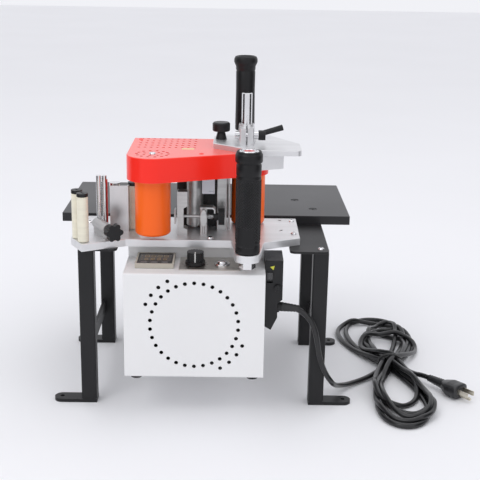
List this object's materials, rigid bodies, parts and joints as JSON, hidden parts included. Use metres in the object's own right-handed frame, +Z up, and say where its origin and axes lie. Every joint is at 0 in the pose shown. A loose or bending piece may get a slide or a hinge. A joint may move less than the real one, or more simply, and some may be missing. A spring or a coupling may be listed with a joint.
{
  "type": "edge banding machine",
  "caption": "Bench edge banding machine: tape guides, heated glue roller and cutter on a plate with work table, control box, two grips and mains cord.",
  "frame": {"origin": "on the floor under the middle of the machine, cord left out", "axes": "+X to the right of the person at the control box, +Y away from that person, +Z up"},
  "size_m": [0.5641, 0.396, 0.447],
  "materials": {
    "black_powder_coat": "satin black powder coat",
    "white_powder_coat": "semi-gloss white powder coat",
    "milled_aluminium": "milled, satin",
    "steel": "machined steel",
    "bright_steel": "polished",
    "brushed_panel": "brushed",
    "black_rubber": "knurled rubber",
    "black_plastic": "moulded",
    "controller_plastic": "moulded",
    "orange_plastic": "gloss orange",
    "red_paint": "gloss red",
    "cream_nylon": "turned nylon",
    "cast_black": "black coated casting",
    "grey_plastic": "moulded",
    "circuit": "circuit board",
    "cord_pvc": "glossy PVC"
  },
  "bodies": {
    "frame": {"base_plate": "milled_aluminium", "box_back_cover": "white_powder_coat", "box_feet": "black_rubber", "button_bezel": "bright_steel", "cable_gland": "black_plastic", "control_box": "white_powder_coat", "control_electronics": "circuit", "control_panel": "brushed_panel", "cord_hank": "cord_pvc", "cutter_frame": "steel", "front_grip": "black_rubber", "gear_cover": "red_paint", "gear_housing_floor": "steel", "geared_motors": "steel", "glue_pot": "cast_black", "grip_bolts": "bright_steel", "grip_cap": "bright_steel", "guide_clamp": "steel", "guide_posts": "steel", "housing_columns": "steel", "limit_switch": "grey_plastic", "machine_screws": "steel", "motor_cover_front": "orange_plastic", "motor_cover_rear": "orange_plastic", "post_clamp": "milled_aluminium", "power_cord": "cord_pvc", "power_cord_tail": "cord_pvc", "power_module": "black_plastic", "power_plug": "cord_pvc", "rear_grip": "black_rubber", "roller_pins": "black_plastic", "side_frames": "black_powder_coat", "side_strips": "black_powder_coat", "tape_guide_plate": "steel", "temperature_controller": "controller_plastic", "top_guide_plate": "milled_aluminium", "work_table": "black_powder_coat"},
    "speed_knob": {"speed_knob": "black_plastic"},
    "push_button": {"push_button": "bright_steel"},
    "controller_key_1": {"controller_key_1": "controller_plastic"},
    "controller_key_2": {"controller_key_2": "controller_plastic"},
    "controller_key_3": {"controller_key_3": "controller_plastic"},
    "rocker_switch": {"rocker_switch": "black_plastic"},
    "fuse_cap": {"fuse_cap": "black_plastic"},
    "drive_gear": {"drive_gear": "steel"},
    "idler_gear": {"idler_gear": "steel"},
    "glue_roller": {"roller_gear": "steel", "glue_roller": "steel"},
    "pressure_roller": {"pressure_roller": "black_rubber"},
    "cutter_rod": {"cutter_rod": "steel", "cutter_knob": "black_plastic"},
    "wing_screw": {"wing_screw": "steel"},
    "tape_roller_1": {"tape_roller_1": "cream_nylon"},
    "tape_roller_2": {"tape_roller_2": "cream_nylon"},
    "tape_roller_3": {"tape_roller_3": "cream_nylon"},
    "star_knob": {"star_knob": "black_plastic"},
    "height_post": {"height_post": "bright_steel"},
    "clamp_lever": {"clamp_bolt": "bright_steel", "clamp_lever": "black_plastic"},
    "top_knob": {"top_knob": "black_plastic"}
  },
  "joints": [
    {"name": "speed_knob_turn", "type": "hinge", "parent": "frame", "child": "speed_knob", "pos_m": [-0.01, -0.139, 0.2], "axis": [0, 0, -1], "range_deg": [0, 300]},
    {"name": "push_button_press", "type": "slide", "parent": "frame", "child": "push_button", "axis": [0, 0, -1], "range_m": [0, 0.0025], "stiffness_N_per_m": 300},
    {"name": "controller_key_1_press", "type": "slide", "parent": "frame", "child": "controller_key_1", "axis": [0, 0, -1], "range_m": [0, 0.0006], "stiffness_N_per_m": 400},
    {"name": "controller_key_2_press", "type": "slide", "parent": "frame", "child": "controller_key_2", "axis": [0, 0, -1], "range_m": [0, 0.0006], "stiffness_N_per_m": 400},
    {"name": "controller_key_3_press", "type": "slide", "parent": "frame", "child": "controller_key_3", "axis": [0, 0, -1], "range_m": [0, 0.0006], "stiffness_N_per_m": 400},
    {"name": "rocker_switch_tilt", "type": "hinge", "parent": "frame", "child": "rocker_switch", "pos_m": [0.0845, -0.146, 0.184], "axis": [-1, 0, 0], "range_deg": [0, 20]},
    {"name": "fuse_cap_turn", "type": "hinge", "parent": "frame", "child": "fuse_cap", "pos_m": [0.0945, -0.15, 0.17], "axis": [0, -1, 0], "range_deg": [-90, 0]},
    {"name": "drive_gear_spin", "type": "hinge", "parent": "frame", "child": "drive_gear", "pos_m": [-0.065, -0.1145, 0.314], "axis": [0, 0, 1], "continuous": true},
    {"name": "idler_gear_spin", "type": "hinge", "parent": "frame", "child": "idler_gear", "pos_m": [-0.03791, -0.08645, 0.314], "axis": [0, 0, 1], "continuous": true},
    {"name": "glue_roller_spin", "type": "hinge", "parent": "frame", "child": "glue_roller", "pos_m": [-0.01359, -0.06127, 0.262], "axis": [0, 0, 1], "continuous": true},
    {"name": "pressure_roller_spin", "type": "hinge", "parent": "frame", "child": "pressure_roller", "pos_m": [0.021, -0.016, 0.262], "axis": [0, 0, 1], "continuous": true},
    {"name": "cutter_rod_push", "type": "slide", "parent": "frame", "child": "cutter_rod", "axis": [-1, 0, 0], "range_m": [0, 0.0035], "stiffness_N_per_m": 250},
    {"name": "wing_screw_turn", "type": "hinge", "parent": "frame", "child": "wing_screw", "pos_m": [-0.001, -0.098, 0.247], "axis": [0, 1, 0], "range_deg": [0, 90]},
    {"name": "tape_roller_1_spin", "type": "hinge", "parent": "frame", "child": "tape_roller_1", "pos_m": [-0.161, -0.116, 0.252], "axis": [0, 0, 1], "continuous": true},
    {"name": "tape_roller_2_spin", "type": "hinge", "parent": "frame", "child": "tape_roller_2", "pos_m": [-0.1515, -0.1335, 0.252], "axis": [0, 0, 1], "continuous": true},
    {"name": "tape_roller_3_spin", "type": "hinge", "parent": "frame", "child": "tape_roller_3", "pos_m": [-0.094, -0.068, 0.252], "axis": [0, 0, 1], "continuous": true},
    {"name": "star_knob_turn", "type": "hinge", "parent": "frame", "child": "star_knob", "pos_m": [-0.14, -0.088, 0.2355], "axis": [0.5, -0.866, 0], "range_deg": [-360, 0]},
    {"name": "height_post_slide", "type": "slide", "parent": "frame", "child": "height_post", "axis": [0, 0, 1], "range_m": [0, 0.015]},
    {"name": "clamp_lever_swing", "type": "hinge", "parent": "frame", "child": "clamp_lever", "pos_m": [0.053, -0.079, 0.352], "axis": [1, 0, 0], "range_deg": [-90, 0]},
    {"name": "top_knob_turn", "type": "hinge", "parent": "frame", "child": "top_knob", "pos_m": [0.02, -0.045, 0.345], "axis": [0, 0, 1], "range_deg": [0, 360]}
  ],
  "couplings": [
    {"joint": "idler_gear_spin", "follows": "drive_gear_spin", "ratio": -1.6},
    {"joint": "glue_roller_spin", "follows": "drive_gear_spin", "ratio": 1.2}
  ]
}
